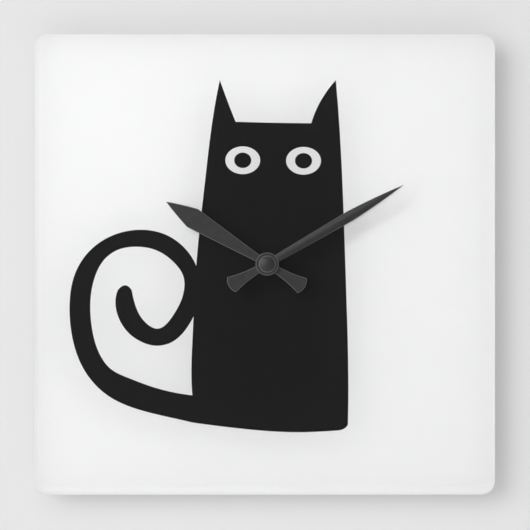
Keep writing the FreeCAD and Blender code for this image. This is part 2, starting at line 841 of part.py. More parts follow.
def rear_plate():
    """Plate that carries the rear pivots, the stator and the circuit board."""
    body = new_body("rear_plate")
    gap = "Dims.running_gap"
    holes = [
        (f"Dims.second_radius + {gap}", CENTRE),
        (f"Dims.third_radius + {gap}", THIRD),
        (f"Dims.pivot_radius + {gap}", FIFTH),
        ("2 * Dims.pivot_radius", ROTOR),
        (f"Dims.shaft_radius + {gap}", SETTING),
    ]
    level, thick = "Dims.rear_plate_back", "Dims.plate_thick"
    pad_outline(body, "rear_plate_outline", level, thick, plate_outline(), holes)
    margin = "Dims.coil_cheek"
    window = box(
        f"Dims.coil_x - Dims.coil_radius - {margin}",
        f"Dims.coil_x + Dims.coil_radius + {margin}",
        f"Dims.core_low - {margin}",
        f"Dims.core_high + {margin}",
    )
    pocket_outline(body, "coil_window", REAR_PLATE_FRONT, "Dims.plate_thick", window)
    return body


def middle_plate():
    """Plate between the train and the motion works, on four posts."""
    body = new_body("middle_plate")
    gap = "Dims.running_gap"
    holes = [
        (f"Dims.second_radius + {gap}", CENTRE),
        ("Dims.third_clearance", THIRD),
        (f"Dims.pivot_radius + {gap}", FIFTH),
        (f"Dims.pivot_radius + {gap}", ROTOR),
        (f"Dims.shaft_radius + {gap}", SETTING),
    ]
    level, thick = "Dims.middle_plate_back", "Dims.plate_thick"
    pad_outline(body, "middle_plate_outline", level, thick, plate_outline(), holes)
    post_length = f"Dims.middle_plate_back - {REAR_PLATE_FRONT}"
    pad_circles(body, "plate_posts", REAR_PLATE_FRONT, post_length, "Dims.post_radius", POSTS)
    return body


# ---------------------------------------------------------------- stepping motor and board


def stator_plate():
    """Soft-iron plate that leads the coil's field round the rotor."""
    body = new_body("stator_plate")
    left, low, high = "Dims.stator_left", "Dims.stator_low", "Dims.stator_high"
    ring_top = f"{ROTOR[1]} + Dims.stator_ring_top"
    neck_top = f"{ROTOR[1]} + Dims.stator_neck_top"
    outline = [
        (left, low),
        (f"{ROTOR[0]} + Dims.stator_ring", low),
        (f"{ROTOR[0]} + Dims.stator_ring", ring_top),
        (f"{ROTOR[0]} + Dims.stator_neck", neck_top),
        (f"{ROTOR[0]} + Dims.stator_neck", high),
        (left, high),
        (left, f"{high} - Dims.stator_arm_high"),
        (f"{ROTOR[0]} - Dims.stator_neck_left", f"{high} - Dims.stator_arm_high"),
        (f"{ROTOR[0]} - Dims.stator_neck_left", neck_top),
        (f"{ROTOR[0]} - Dims.stator_ring", ring_top),
        (f"{ROTOR[0]} - Dims.stator_ring", f"{low} + Dims.stator_arm_low"),
        (left, f"{low} + Dims.stator_arm_low"),
    ]
    holes = [("Dims.stator_hole", ROTOR)]
    pad_outline(body, "stator_outline", "Dims.stator_back", "Dims.stator_thick", outline, holes)
    return body


def coil_core():
    """Strip through the coil that bridges the stator's arms."""
    core = doc.addObject("Part::Box", "coil_core")
    core.Label = "coil_core"
    core.setExpression("Length", "2 * Dims.core_half")
    core.setExpression("Width", "Dims.core_thick")
    core.setExpression("Height", "Dims.core_high - Dims.core_low")
    core.setExpression("Placement.Base.x", "Dims.coil_x - Dims.core_half")
    core.setExpression("Placement.Base.y", f"-{STATOR_FRONT} - Dims.core_thick")
    core.setExpression("Placement.Base.z", "Dims.core_low")
    return core


# Turns a piece made along -Y so that it lies along +X, or stands along +Z.
ALONG_X = FreeCAD.Rotation(FreeCAD.Vector(0, 0, 1), 90)
ALONG_Z = FreeCAD.Rotation(FreeCAD.Vector(1, 0, 0), -90)
COIL_DEPTH = f"{STATOR_FRONT} + Dims.core_thick / 2"


def coil_bobbin():
    length = "(Dims.coil_high - Dims.coil_low)"
    outline = [
        ("Dims.coil_bore", "0"),
        ("Dims.coil_radius", "0"),
        ("Dims.coil_radius", "Dims.coil_cheek"),
        ("Dims.coil_tube", "Dims.coil_cheek"),
        ("Dims.coil_tube", f"{length} - Dims.coil_cheek"),
        ("Dims.coil_radius", f"{length} - Dims.coil_cheek"),
        ("Dims.coil_radius", length),
        ("Dims.coil_bore", length),
    ]
    return turned("coil_bobbin", outline, ("Dims.coil_x", "Dims.coil_low"), ALONG_Z, COIL_DEPTH)


def coil_winding():
    """The coil's fine copper wire, as one solid."""
    length = "(Dims.coil_high - Dims.coil_low - 2 * Dims.coil_cheek)"
    outline = [
        ("Dims.coil_tube", "0"),
        ("Dims.coil_wound", "0"),
        ("Dims.coil_wound", length),
        ("Dims.coil_tube", length),
    ]
    place = ("Dims.coil_x", "Dims.coil_low + Dims.coil_cheek")
    return turned("coil_winding", outline, place, ALONG_Z, COIL_DEPTH)


def circuit_board():
    """Board with a leg down to the battery's contacts."""
    body = new_body("circuit_board")
    right = "(Dims.case_half - Dims.case_wall - Dims.slot_width)"
    outline = [
        ("Dims.board_leg_left", "Dims.board_leg_low"),
        ("Dims.board_leg_right", "Dims.board_leg_low"),
        ("Dims.board_leg_right", "Dims.board_step"),
        (right, "Dims.board_step"),
        (right, "Dims.board_high"),
        ("Dims.board_left", "Dims.board_high"),
        ("Dims.board_left", "Dims.board_low"),
        ("Dims.board_leg_left", "Dims.board_low"),
    ]
    pad_outline(body, "board_outline", BOARD_BACK, "Dims.board_thick", outline)
    return body


def quartz_crystal():
    """Small can that holds the quartz fork, lying on the board."""
    outline = [
        ("0", "0"),
        ("Dims.crystal_radius", "0"),
        ("Dims.crystal_radius", "Dims.crystal_length"),
        ("0", "Dims.crystal_length"),
    ]
    place = ("Dims.crystal_x", "Dims.crystal_z")
    return turned("quartz_crystal", outline, place, ALONG_X, f"{BOARD_BACK} - Dims.crystal_radius")


def chip_dome():
    """Drop of black resin over the clock chip."""
    curve = dome_radius("Dims.dome_radius", "Dims.dome_rise")
    outline = [
        ("0", f"{BOARD_BACK} - Dims.dome_rise", curve, -1),
        ("Dims.dome_radius", BOARD_BACK),
        ("0", BOARD_BACK),
    ]
    return turned("chip_dome", outline, ("Dims.dome_x", "Dims.dome_z"))


# ---------------------------------------------------------------- battery


def battery_cell():
    """Steel can with its positive nub."""
    length = "Dims.cell_length"
    outline = [
        ("0", "0"),
        ("Dims.cell_radius - Dims.cell_edge", "0", "Dims.cell_edge", -1),
        ("Dims.cell_radius", "Dims.cell_edge"),
        ("Dims.cell_radius", f"{length} - Dims.cell_edge", "Dims.cell_edge", -1),
        ("Dims.cell_radius - Dims.cell_edge", length),
        ("Dims.nub_radius", length),
        ("Dims.nub_radius", f"{length} + Dims.nub_length"),
        ("0", f"{length} + Dims.nub_length"),
    ]
    return turned("battery_cell", outline, ("Dims.cell_x", "Dims.cell_z"), ALONG_X, CELL_DEPTH)


def battery_sleeve():
    """Thin printed sleeve shrunk on the can."""
    outline = [
        ("Dims.cell_radius", "Dims.cell_edge"),
        ("Dims.sleeve_radius", "Dims.cell_edge"),
        ("Dims.sleeve_radius", "Dims.cell_length - Dims.cell_edge"),
        ("Dims.cell_radius", "Dims.cell_length - Dims.cell_edge"),
    ]
    return turned("battery_sleeve", outline, ("Dims.cell_x", "Dims.cell_z"), ALONG_X, CELL_DEPTH)


CELL_DEPTH = "Dims.cell_back + Dims.sleeve_radius"
BAY_SIDE = "(Dims.case_half - Dims.case_wall - Dims.running_gap)"
STRIP_LOW = "Dims.cell_z - Dims.strip_below"


def contact_plus():
    """Flat strip from the battery's nub up to the board."""
    body = new_body("contact_plus")
    outline = box(f"{BAY_SIDE} - Dims.strip_thick", BAY_SIDE, STRIP_LOW, "Dims.strip_top")
    pad_outline(body, "plus_outline", "Dims.strip_back", "Dims.strip_width", outline)
    return body


def contact_minus():
    """Bent strip from the spring along the divider to the board."""
    body = new_body("contact_minus")
    floor = "(Dims.bay_top + Dims.case_wall + Dims.running_gap)"
    outline = [
        (f"-{BAY_SIDE}", STRIP_LOW),
        (f"-{BAY_SIDE} + Dims.strip_thick", STRIP_LOW),
        (f"-{BAY_SIDE} + Dims.strip_thick", floor),
        ("Dims.foot_right", floor),
        ("Dims.foot_right", f"{floor} + Dims.foot_thick"),
        (f"-{BAY_SIDE}", f"{floor} + Dims.foot_thick"),
    ]
    pad_outline(body, "minus_outline", "Dims.strip_back", "Dims.strip_width", outline)
    return body


def battery_spring():
    """Wire coil that presses the battery towards its nub, as long as it is with a battery in."""
    wire = size("Dims.coil_wire")
    start = size(f"-{BAY_SIDE} + Dims.strip_thick") + wire + size("Dims.running_gap")
    length = size("Dims.cell_x") - wire - size("Dims.running_gap") - start
    turns = length / size("Dims.spring_pitch")
    reach = size("Dims.spring_radius")
    steps = round(turns * size("Dims.spring_bends"))
    points = []
    for i in range(steps + 1):
        angle = 2 * math.pi * turns * i / steps
        y = reach * math.cos(angle) - size(CELL_DEPTH)
        z = reach * math.sin(angle) + size("Dims.cell_z")
        points.append(FreeCAD.Vector(start + length * i / steps, y, z))
    path = Part.makePolygon(points)
    circle = Part.Circle(points[0], points[1] - points[0], wire)
    spring = doc.addObject("Part::Feature", "battery_spring")
    spring.Label = "battery_spring"
    mitred = 1
    spring.Shape = path.makePipeShell([Part.Wire(circle.toShape())], True, False, mitred)
    return spring


# ---------------------------------------------------------------- toothed wheels


def toothed_disc(teeth, module, back, front, phase):
    """Spur gear about the hands' axis, with a tooth's middle at the phase angle.

    Flanks follow an involute: through its root, base, pitch and tip circles on a pinion, and
    straight from root to tip on a wheel, where the curve is slight.
    """
    pitch = teeth * module / 2
    base = pitch * math.cos(math.radians(size("Dims.pressure_angle")))
    root = pitch - size("Dims.dedendum") * module
    tip = pitch + size("Dims.addendum") * module
    half_tooth = (math.pi / 2 - size("Dims.tooth_thinning")) / teeth
    small = teeth <= size("Dims.setting_leaves")
    circles = [root, base, pitch, tip] if small else [root, tip]

    def roll(radius):
        angle = math.acos(min(1.0, base / radius))
        return math.tan(angle) - angle

    flank = [(radius, half_tooth + roll(pitch) - roll(radius)) for radius in circles]
    corners = []
    for index in range(int(teeth)):
        middle = phase + 2 * math.pi * index / teeth
        turns = [(radius, middle - half) for radius, half in flank]
        turns += [(radius, middle + half) for radius, half in reversed(flank)]
        for radius, angle in turns:
            corners.append(FreeCAD.Vector(radius * math.cos(angle), -back, radius * math.sin(angle)))
    face = Part.Face(Part.makePolygon(corners + corners[:1]))
    return face.extrude(FreeCAD.Vector(0, back - front, 0))


def drum(radius, back, front):
    return Part.makeCylinder(radius, front - back, FreeCAD.Vector(0, -back, 0), FreeCAD.Vector(0, -1, 0))


def web_recesses(teeth, module, back, front, hub):
    """Rings hollowed out of both sides of a wheel, between hub and rim."""
    outer = teeth * module / 2 - size("Dims.rim_width")
    shallow = size("Dims.web_recess")
    disc = [drum(outer, back, back + shallow), drum(outer, front - shallow, front)]
    core = drum(hub, back, front)
    return [side.cut(core) for side in disc]


def wheel(label, place, toothed, drums, bore=None, hollow=None):
    """A moulded wheel: toothed discs and round drums in one piece, with a bore through it all."""
    solid = None
    for piece in [toothed_disc(*item) for item in toothed] + [drum(*item) for item in drums]:
        solid = piece if solid is None else solid.fuse(piece)
    if hollow:
        for recess in web_recesses(*hollow):
            solid = solid.cut(recess)
    if bore:
        box_ = solid.BoundBox
        solid = solid.cut(drum(bore, -box_.YMax - 1, -box_.YMin + 1))
    item = doc.addObject("Part::Feature", label)
    item.Label = label
    item.Shape = solid.removeSplitter()
    item.Placement.Base = FreeCAD.Vector(size(place[0]), 0, size(place[1]))
    return item


def mesh_phase(start, start_teeth, start_phase, end, end_teeth):
    """Phase that puts a gap of the second wheel opposite a tooth of the first."""
    run_x = size(end[0]) - size(start[0])
    run_z = size(end[1]) - size(start[1])
    towards = math.atan2(run_z, run_x)
    teeth_past = (towards - start_phase) * start_teeth / (2 * math.pi)
    return towards + math.pi + (0.5 + teeth_past) * 2 * math.pi / end_teeth


def train():
    """Every wheel from the rotor to the hour wheel, each meshed with the one before it."""
    leaves = size("Dims.leaves")
    wheels = ("fifth", "second", "third", "centre", "minute", "hour")
    pinions = ("rotor", "fifth", "second", "third", "cannon", "hour")
    teeth = {name: size(f"Dims.{name}_teeth") for name in wheels}
    level = {name: size(f"Dims.{name}_level") for name in wheels}
    module = {name: size(f"Dims.{name}_module") for name in pinions}
    thick = size("Dims.wheel_thick")
    extra = size("Dims.pinion_extra")

    def wheel_layer(name):
        return level[name], level[name] + thick

    def pinion_layer(name):
        return level[name] - extra, level[name] + thick + extra

    def front_pinion(name, driven):
        return level[name] + thick, level[driven] + thick + extra

    def hub_of(name):
        return size("Dims.hub_modules") * module[name]

    cannon_leaves = size("Dims.cannon_leaves")
    setting_leaves = size("Dims.setting_leaves")
    third_phase = mesh_phase(CENTRE, teeth["centre"], 0.0, THIRD, leaves)
    second_phase = mesh_phase(THIRD, teeth["third"], third_phase, CENTRE, leaves)
    fifth_phase = mesh_phase(CENTRE, teeth["second"], second_phase, FIFTH, leaves)
    rotor_phase = mesh_phase(FIFTH, teeth["fifth"], fifth_phase, ROTOR, leaves)
    minute_phase = mesh_phase(CENTRE, cannon_leaves, 0.0, MINUTE, teeth["minute"])
    hour_phase = mesh_phase(MINUTE, leaves, minute_phase, CENTRE, teeth["hour"])
    setting_phase = mesh_phase(MINUTE, teeth["minute"], minute_phase, SETTING, setting_leaves)

    pivot = size("Dims.pivot_radius")
    back, front = size("Dims.arbor_back"), size("Dims.arbor_front")
    rotor = wheel(
        "rotor_pinion",
        ROTOR,
        [(leaves, module["rotor"], *pinion_layer("fifth"), rotor_phase)],
        [(pivot, size("Dims.rotor_back"), front)],
    )
    fifth = wheel(
        "fifth_wheel",
        FIFTH,
        [
            (teeth["fifth"], module["rotor"], *wheel_layer("fifth"), fifth_phase),
            (leaves, module["fifth"], *front_pinion("fifth", "second"), fifth_phase),
        ],
        [(pivot, back, front)],
        hollow=(teeth["fifth"], module["rotor"], *wheel_layer("fifth"), hub_of("fifth")),
    )
    second = wheel(
        "second_wheel",
        CENTRE,
        [
            (teeth["second"], module["fifth"], *wheel_layer("second"), second_phase),
            (leaves, module["second"], *front_pinion("second", "third"), second_phase),
        ],
        [],
        bore=size("Dims.second_radius"),
        hollow=(teeth["second"], module["fifth"], *wheel_layer("second"), hub_of("second")),
    )
    third = wheel(
        "third_wheel",
        THIRD,
        [
            (teeth["third"], module["second"], *wheel_layer("third"), third_phase),
            (leaves, module["third"], level["centre"] - extra, level["centre"] + thick + extra, third_phase),
        ],
        [
            (size("Dims.third_radius"), back, size("Dims.third_front")),
            (size("Dims.shaft_radius"), level["third"] + thick, level["centre"]),
        ],
        hollow=(teeth["third"], module["second"], *wheel_layer("third"), 2 * size("Dims.shaft_radius")),
    )
    centre = wheel(
        "centre_wheel",
        CENTRE,
        [(teeth["centre"], module["third"], *wheel_layer("centre"), 0.0)],
        [],
        bore=size("Dims.cannon_seat"),
        hollow=(teeth["centre"], module["third"], *wheel_layer("centre"), size("Dims.cannon_collar")),
    )
    seat_front = level["centre"] + thick + size("Dims.clutch_thick")
    leaves_back = level["minute"] - 2 * extra
    leaves_front = level["minute"] + thick + 2 * extra
    hour_leaves_front = level["hour"] + thick + 2 * extra
    cannon = wheel(
        "cannon_pinion",
        CENTRE,
        [(cannon_leaves, module["cannon"], leaves_back, leaves_front, 0.0)],
        [
            (size("Dims.cannon_seat"), size("Dims.cannon_back"), seat_front),
            (size("Dims.cannon_collar"), seat_front, leaves_back),
            (size("Dims.minute_pipe"), leaves_front, size("Dims.minute_pipe_front")),
        ],
        bore=size("Dims.cannon_bore"),
    )
    minute = wheel(
        "minute_wheel",
        MINUTE,
        [
            (teeth["minute"], module["cannon"], *wheel_layer("minute"), minute_phase),
            (leaves, module["hour"], level["minute"] + thick, hour_leaves_front, minute_phase),
        ],
        [],
        bore=size("Dims.minute_post + Dims.running_gap"),
    )
    hour = wheel(
        "hour_wheel",
        CENTRE,
        [(teeth["hour"], module["hour"], *wheel_layer("hour"), hour_phase)],
        [
            (size("Dims.hour_shoulder"), level["hour"], size("Dims.hour_shoulder_front")),
            (size("Dims.hour_pipe"), level["hour"], size("Dims.hour_pipe_front")),
        ],
        bore=size("Dims.minute_pipe + Dims.running_gap"),
    )
    setting = wheel(
        "setting_shaft",
        SETTING,
        [(setting_leaves, module["cannon"], *pinion_layer("minute"), setting_phase)],
        [
            (size("Dims.shaft_radius"), size("Dims.knob_floor"), size("Dims.shaft_front")),
            (size("Dims.shaft_tip_radius"), size("Dims.shaft_front"), size("Dims.shaft_tip")),
        ],
    )
    return [rotor, fifth, second, third, centre, cannon, minute, hour, setting]


def second_arbor():
    """Long steel pin of the second wheel, which ends unused under the cap."""
    pin = doc.addObject("Part::Cylinder", "second_arbor")
    pin.Label = "second_arbor"
    pin.Placement.Rotation = FreeCAD.Rotation(FreeCAD.Vector(1, 0, 0), 90)
    pin.setExpression("Radius", "Dims.second_radius")
    pin.setExpression("Height", "Dims.second_front - Dims.arbor_back")
    pin.setExpression("Placement.Base.y", "-Dims.arbor_back")
    return pin


def rotor_magnet():
    """Round magnet that the coil turns half a turn at a time."""
    magnet_front = "Dims.magnet_back + Dims.magnet_thick"
    inner, outer = "Dims.pivot_radius", "Dims.magnet_radius"
    return ring("rotor_magnet", inner, outer, "Dims.magnet_back", magnet_front, ROTOR)


def clutch_spring():
    """Friction washer that lets the hands be set without turning the train."""
    back = "Dims.centre_level + Dims.wheel_thick"
    front = f"{back} + Dims.clutch_thick"
    return ring("clutch_spring", "Dims.cannon_seat", "Dims.cannon_collar", back, front)


def set_knob():
    """Knurled knob, sunk in the lid."""
    body = new_body("set_knob")
    front = "Dims.knob_back + Dims.knob_thick"
    thick, rim = "Dims.knob_thick", "Dims.knob_radius"
    pad_circles(body, "knob_outline", "Dims.knob_back", thick, rim, [CENTRE])
    socket_depth = f"{front} - Dims.knob_floor"
    pocket_circles(body, "shaft_socket", front, socket_depth, "Dims.shaft_radius", [CENTRE])
    groove = pocket_circles(body, "knurl", front, thick, "Dims.knurl_radius", [(rim, "0")])
    pattern = body.newObject("PartDesign::PolarPattern", "knurls")
    pattern.Originals = [groove]
    axis = next(item for item in body.Origin.OriginFeatures if item.Role == "Y_Axis")
    pattern.Axis = (axis, [""])
    pattern.Angle = 360
    pattern.setExpression("Occurrences", "Dims.knurl_count")
    body.Tip = pattern
    body.setExpression("Placement.Base.x", SETTING[0])
    body.setExpression("Placement.Base.z", SETTING[1])
    return body


# ---------------------------------------------------------------- hands


def add_tail(body, name, depth, thick):
    """Flared counterweight behind the hub."""
    reach, half, waist = "Dims.tail_reach", "Dims.tail_half", "Dims.tail_waist"
    outline = [
        ("0", waist, "Dims.tail_flank", -1),
        (f"-{reach}", half, "Dims.tail_end", 1),
        (f"-{reach}", f"-{half}", "Dims.tail_flank", -1),
        ("0", f"-{waist}"),
    ]
    pad_outline(body, name, depth, thick, outline)


def add_blade(body, name, depth, thick, hand):
    """Pointed blade, widest at its shoulder."""
    root, flank = f"Dims.{hand}_root", f"Dims.{hand}_flank"
    shoulder, half = f"Dims.{hand}_shoulder_x", f"Dims.{hand}_shoulder_half"
    outline = [
        ("0", f"-{root}"),
        (shoulder, f"-{half}", flank, 1),
        (f"Dims.{hand}_tip", "0", flank, 1),
        (shoulder, half),
        ("0", root),
    ]
    pad_outline(body, name, depth, thick, outline)


def turn_hand(body, rest):
    """Turns a hand from +X to its rest angle."""
    body.Placement.Rotation = FreeCAD.Rotation(FreeCAD.Vector(0, -1, 0), size(rest))
    body.setExpression("Placement.Rotation.Angle", rest)


def hour_hand():
    """Flat kite-shaped hand with a flared tail."""
    body = new_body("hour_hand")
    add_blade(body, "hour_blade", "Dims.hour_back", "Dims.hour_thick", "hour")

    def shoulder(edge):
        upright = edge.BoundBox.YLength > size("Dims.hour_thick") / 2
        return upright and abs(edge.CenterOfGravity.x - size("Dims.hour_shoulder_x")) < CLOSE

    round_edges(body, "shoulder_round", "Dims.hour_round", shoulder)
    add_tail(body, "hour_tail", "Dims.hour_back", "Dims.hour_thick")
    pad_circles(body, "hour_boss", "Dims.hour_back", "Dims.hour_hub_thick", "Dims.hour_hub", [CENTRE])
    front = "Dims.hour_back + Dims.hour_hub_thick"
    pocket_circles(body, "hour_bore", front, "Dims.hour_hub_thick", "Dims.hour_collet", [CENTRE])
    turn_hand(body, "Dims.hour_rest")
    return body


def minute_hand():
    """Long hand with a domed blade, a flared tail and a round boss."""
    body = new_body("minute_hand")
    add_blade(body, "minute_blade", "Dims.minute_back", "Dims.blade_thick", "minute")
    # the dome is a cylinder along the blade: everything outside it is cut away
    front = "(Dims.minute_back + Dims.blade_thick)"
    centre = f"-({front} - Dims.blade_dome)"
    sketch = new_sketch(body, "dome_profile", centre, "XY_Plane", "AttachmentOffset.Base.y")
    outside = "-Dims.blade_dome - Dims.cap_radius"
    profile = box("-Dims.tail_half", "Dims.minute_tip + Dims.tail_half", outside, "-Dims.blade_dome")
    add_outline(sketch, profile)
    before = body.Shape.Volume
    groove = body.newObject("PartDesign::Groove", "blade_dome")
    groove.Profile = sketch
    groove.ReferenceAxis = (sketch, ["H_Axis"])
    groove.Angle = 360
    doc.recompute()
    if not body.Shape.Volume < before:
        raise ValueError("the minute hand's dome cuts nothing")
    add_tail(body, "minute_tail", "Dims.minute_back", "Dims.minute_tail_thick")
    thick = "Dims.minute_hub_thick"
    pad_circles(body, "minute_boss", "Dims.minute_back", thick, "Dims.minute_hub", [CENTRE])
    pocket_circles(body, "minute_bore", HUB_FRONT, thick, "Dims.minute_collet", [CENTRE])
    turn_hand(body, "Dims.minute_rest")
    return body


def centre_cap():
    """Domed cap over the hands' centre."""
    curve = dome_radius("Dims.cap_radius", f"Dims.cap_front - {HUB_FRONT} - Dims.cap_wall")
    return turned(
        "centre_cap",
        [
            ("Dims.cap_room_radius", HUB_FRONT),
            ("Dims.cap_radius", HUB_FRONT),
            ("Dims.cap_radius", f"{HUB_FRONT} + Dims.cap_wall", curve, -1),
            ("0", "Dims.cap_front"),
            ("0", "Dims.cap_room"),
            ("Dims.cap_room_radius", "Dims.cap_room"),
        ],
    )


# ---------------------------------------------------------------- assembly


def build():
    """Every sub-part, from the face to the hands."""
    ink = cat_print()
    parts = [face_panel(), ink, backing_print(ink)]
    hole, washer = "Dims.stud_hole", "Dims.washer_radius"
    parts.append(ring("rubber_gasket", hole, "Dims.gasket_radius", HANGER_FRONT, GASKET_FRONT))
    parts.append(ring("clamp_washer", hole, washer, PANEL_FRONT, WASHER_FRONT))
    parts += [clamp_nut(), threaded_bushing(), hanger_plate()]
    parts += [case_front(), case_back(), rear_plate(), middle_plate()]
    parts += [stator_plate(), coil_core(), coil_bobbin(), coil_winding()]
    parts += [circuit_board(), quartz_crystal(), chip_dome()]
    parts += [battery_cell(), battery_sleeve(), contact_plus(), contact_minus(), battery_spring()]
    parts += train()
    parts += [second_arbor(), rotor_magnet(), clutch_spring(), set_knob()]
    parts += [hour_hand(), minute_hand(), centre_cap()]
    for hand in ("hour", "minute"):
        inner, outer = f"Dims.{hand}_pipe", f"Dims.{hand}_collet"
        back, front = f"Dims.{hand}_collet_back", f"Dims.{hand}_pipe_front"
        parts.append(ring(f"{hand}_collet", inner, outer, back, front))
    return parts


def check(parts):
    """Stops before anything is written if an object failed or a shape is bad."""
    for item in doc.Objects:
        if "Invalid" in item.State or "Error" in item.State:
            raise ValueError(f"{item.Name} failed: {item.State}")
    for part in parts:
        if part.Shape.isNull() or not part.Shape.isValid():
            raise ValueError(f"{part.Label} has a bad shape")
        if not part.Shape.Solids:
            raise ValueError(f"{part.Label} holds no solid")


fill_sheet()
PARTS = build()
doc.recompute()
check(PARTS)
os.makedirs("parts", exist_ok=True)
for part in PARTS:
    part.Shape.exportStep(f"parts/{part.Label}.step")
print(f"{len(PARTS)} sub-parts written")
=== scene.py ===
import json
import math

import bmesh
import bpy
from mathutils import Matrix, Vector


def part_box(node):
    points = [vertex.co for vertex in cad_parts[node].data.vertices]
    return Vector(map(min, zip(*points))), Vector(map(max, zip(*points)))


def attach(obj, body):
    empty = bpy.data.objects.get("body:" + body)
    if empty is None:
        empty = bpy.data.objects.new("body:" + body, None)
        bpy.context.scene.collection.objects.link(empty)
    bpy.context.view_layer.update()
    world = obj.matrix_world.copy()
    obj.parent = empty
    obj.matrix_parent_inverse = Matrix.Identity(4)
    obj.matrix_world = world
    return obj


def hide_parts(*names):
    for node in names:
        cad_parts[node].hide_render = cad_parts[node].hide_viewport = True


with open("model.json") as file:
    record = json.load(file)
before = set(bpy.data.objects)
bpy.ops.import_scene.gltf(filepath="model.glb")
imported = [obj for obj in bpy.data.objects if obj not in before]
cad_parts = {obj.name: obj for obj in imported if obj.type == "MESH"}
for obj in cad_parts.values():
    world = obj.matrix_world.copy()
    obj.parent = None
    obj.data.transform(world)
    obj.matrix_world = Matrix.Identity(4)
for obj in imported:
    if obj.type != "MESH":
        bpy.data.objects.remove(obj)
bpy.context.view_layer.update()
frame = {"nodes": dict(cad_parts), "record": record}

# The looks of a square clear wall clock, printed on its back with a sitting cat. Everything is in
# metres in the CAD's frame: +X right, -Y into the room, +Z up, and the wall is the plane y = 0.

MM = 0.001
RECORD = frame["record"]
NODES = frame["nodes"]
SLOT_OF = {part["node"]: part["material_slot"] for part in RECORD["subparts"]}
BODY_OF = {
    node: body for body, members in RECORD["behaviour"]["bodies"].items() for node in members
}


# ---------------------------------------------------------------- materials


class Surface:
    """A Principled material with helpers for the procedural detail that feeds it."""

    def __init__(self, name, **settings):
        self.material = bpy.data.materials.new(name)
        self.material.use_nodes = True
        self.tree = self.material.node_tree
        self.shader = self.tree.nodes["Principled BSDF"]
        self.output = self.tree.nodes["Material Output"]
        self.coordinates = self.add("ShaderNodeTexCoord").outputs["Object"]
        for socket, value in settings.items():
            self.shader.inputs[socket.replace("_", " ")].default_value = value

    def add(self, kind, **settings):
        node = self.tree.nodes.new(kind)
        for name, value in settings.items():
            setattr(node, name, value)
        return node

    def link(self, start, end):
        self.tree.links.new(start, end)

    def stretched(self, scale):
        """Object coordinates scaled unevenly, for brushing."""
        mapping = self.add("ShaderNodeMapping")
        mapping.inputs["Scale"].default_value = scale
        self.link(self.coordinates, mapping.inputs["Vector"])
        return mapping.outputs["Vector"]

    def noise(self, grain, detail=2.0, vector=None):
        """Noise whose spots are about grain metres across."""
        node = self.add("ShaderNodeTexNoise")
        node.inputs["Scale"].default_value = 1 / grain
        node.inputs["Detail"].default_value = detail
        self.link(vector or self.coordinates, node.inputs["Vector"])
        return node.outputs["Fac"]

    def spread(self, source, low, high, start=0.3, end=0.7):
        """Maps a noise onto a range of values."""
        node = self.add("ShaderNodeMapRange")
        limits = {"From Min": start, "From Max": end, "To Min": low, "To Max": high}
        for socket, value in limits.items():
            node.inputs[socket].default_value = value
        self.link(source, node.inputs["Value"])
        return node.outputs["Result"]

    def level(self):
        """How squarely the surface faces the room or the wall, from 0 to 1."""
        split = self.add("ShaderNodeSeparateXYZ")
        self.link(self.add("ShaderNodeTexCoord").outputs["Normal"], split.inputs["Vector"])
        size = self.add("ShaderNodeMath", operation="ABSOLUTE")
        self.link(split.outputs["Y"], size.inputs[0])
        return size.outputs["Value"]

    def tint(self, source, dark, light):
        """Base colour that wanders between two colours."""
        mix = self.add("ShaderNodeMix", data_type="RGBA")
        mix.inputs["A"].default_value = (*dark, 1)
        mix.inputs["B"].default_value = (*light, 1)
        self.link(source, mix.inputs["Factor"])
        self.link(mix.outputs["Result"], self.shader.inputs["Base Color"])
        return mix

    def roughen(self, source, low, high):
        """Roughness that wanders between two values."""
        self.link(self.spread(source, low, high), self.shader.inputs["Roughness"])

    def bump(self, source, height):
        """Relief of that height, on the shader's normal."""
        node = self.add("ShaderNodeBump")
        node.inputs["Strength"].default_value = 1.0
        node.inputs["Distance"].default_value = height
        self.link(source, node.inputs["Height"])
        self.link(node.outputs["Normal"], self.shader.inputs["Normal"])

    def show_by(self, choice, first, second):
        """The material's output: the first shader, or the second where choice is one."""
        mix = self.add("ShaderNodeMixShader")
        self.link(choice, mix.inputs["Fac"])
        self.link(first.outputs["BSDF"], mix.inputs[1])
        self.link(second.outputs["BSDF"], mix.inputs[2])
        self.link(mix.outputs["Shader"], self.output.inputs["Surface"])


def moulded(name, dark, light, roughness, grain=0.25 * MM, height=0.006 * MM):
    """Moulded plastic: fine spark-eroded grain, and a slow drift of sheen."""
    surface = Surface(name)
    surface.tint(surface.spread(surface.noise(6 * MM), 0, 1), dark, light)
    surface.roughen(surface.noise(3 * MM, 4.0), roughness - 0.06, roughness + 0.06)
    surface.bump(surface.noise(grain, 3.0), height)
    return surface.material


def metal(name, dark, light, roughness, brushing, height=0.004 * MM, grain=0.2 * MM):
    """Bare or plated metal with tool marks drawn out along one way."""
    surface = Surface(name, Metallic=1.0)
    marks = surface.noise(grain, 3.0, surface.stretched(brushing))
    surface.tint(surface.spread(surface.noise(4 * MM), 0, 1), dark, light)
    surface.roughen(marks, roughness - 0.08, roughness + 0.1)
    surface.bump(marks, height)
    return surface.material


def ink(name, dark, light):
    """Printed film, bonded to the acrylic: a faint screen-print mottle and no gloss of its own."""
    surface = Surface(name, Roughness=0.7, Specular_IOR_Level=0.05)
    surface.tint(surface.spread(surface.noise(1.5 * MM, 3.0), 0, 1), dark, light)
    surface.bump(surface.noise(0.2 * MM), 0.002 * MM)
    return surface.material


LIGHT_THROUGH_FLAT = 0.89
LIGHT_THROUGH_ROUND = 0.775
ROUND_LEVEL = 0.93           # how squarely the acrylic faces the room where it counts as round
FLAT_LEVEL = 0.985           # and as flat


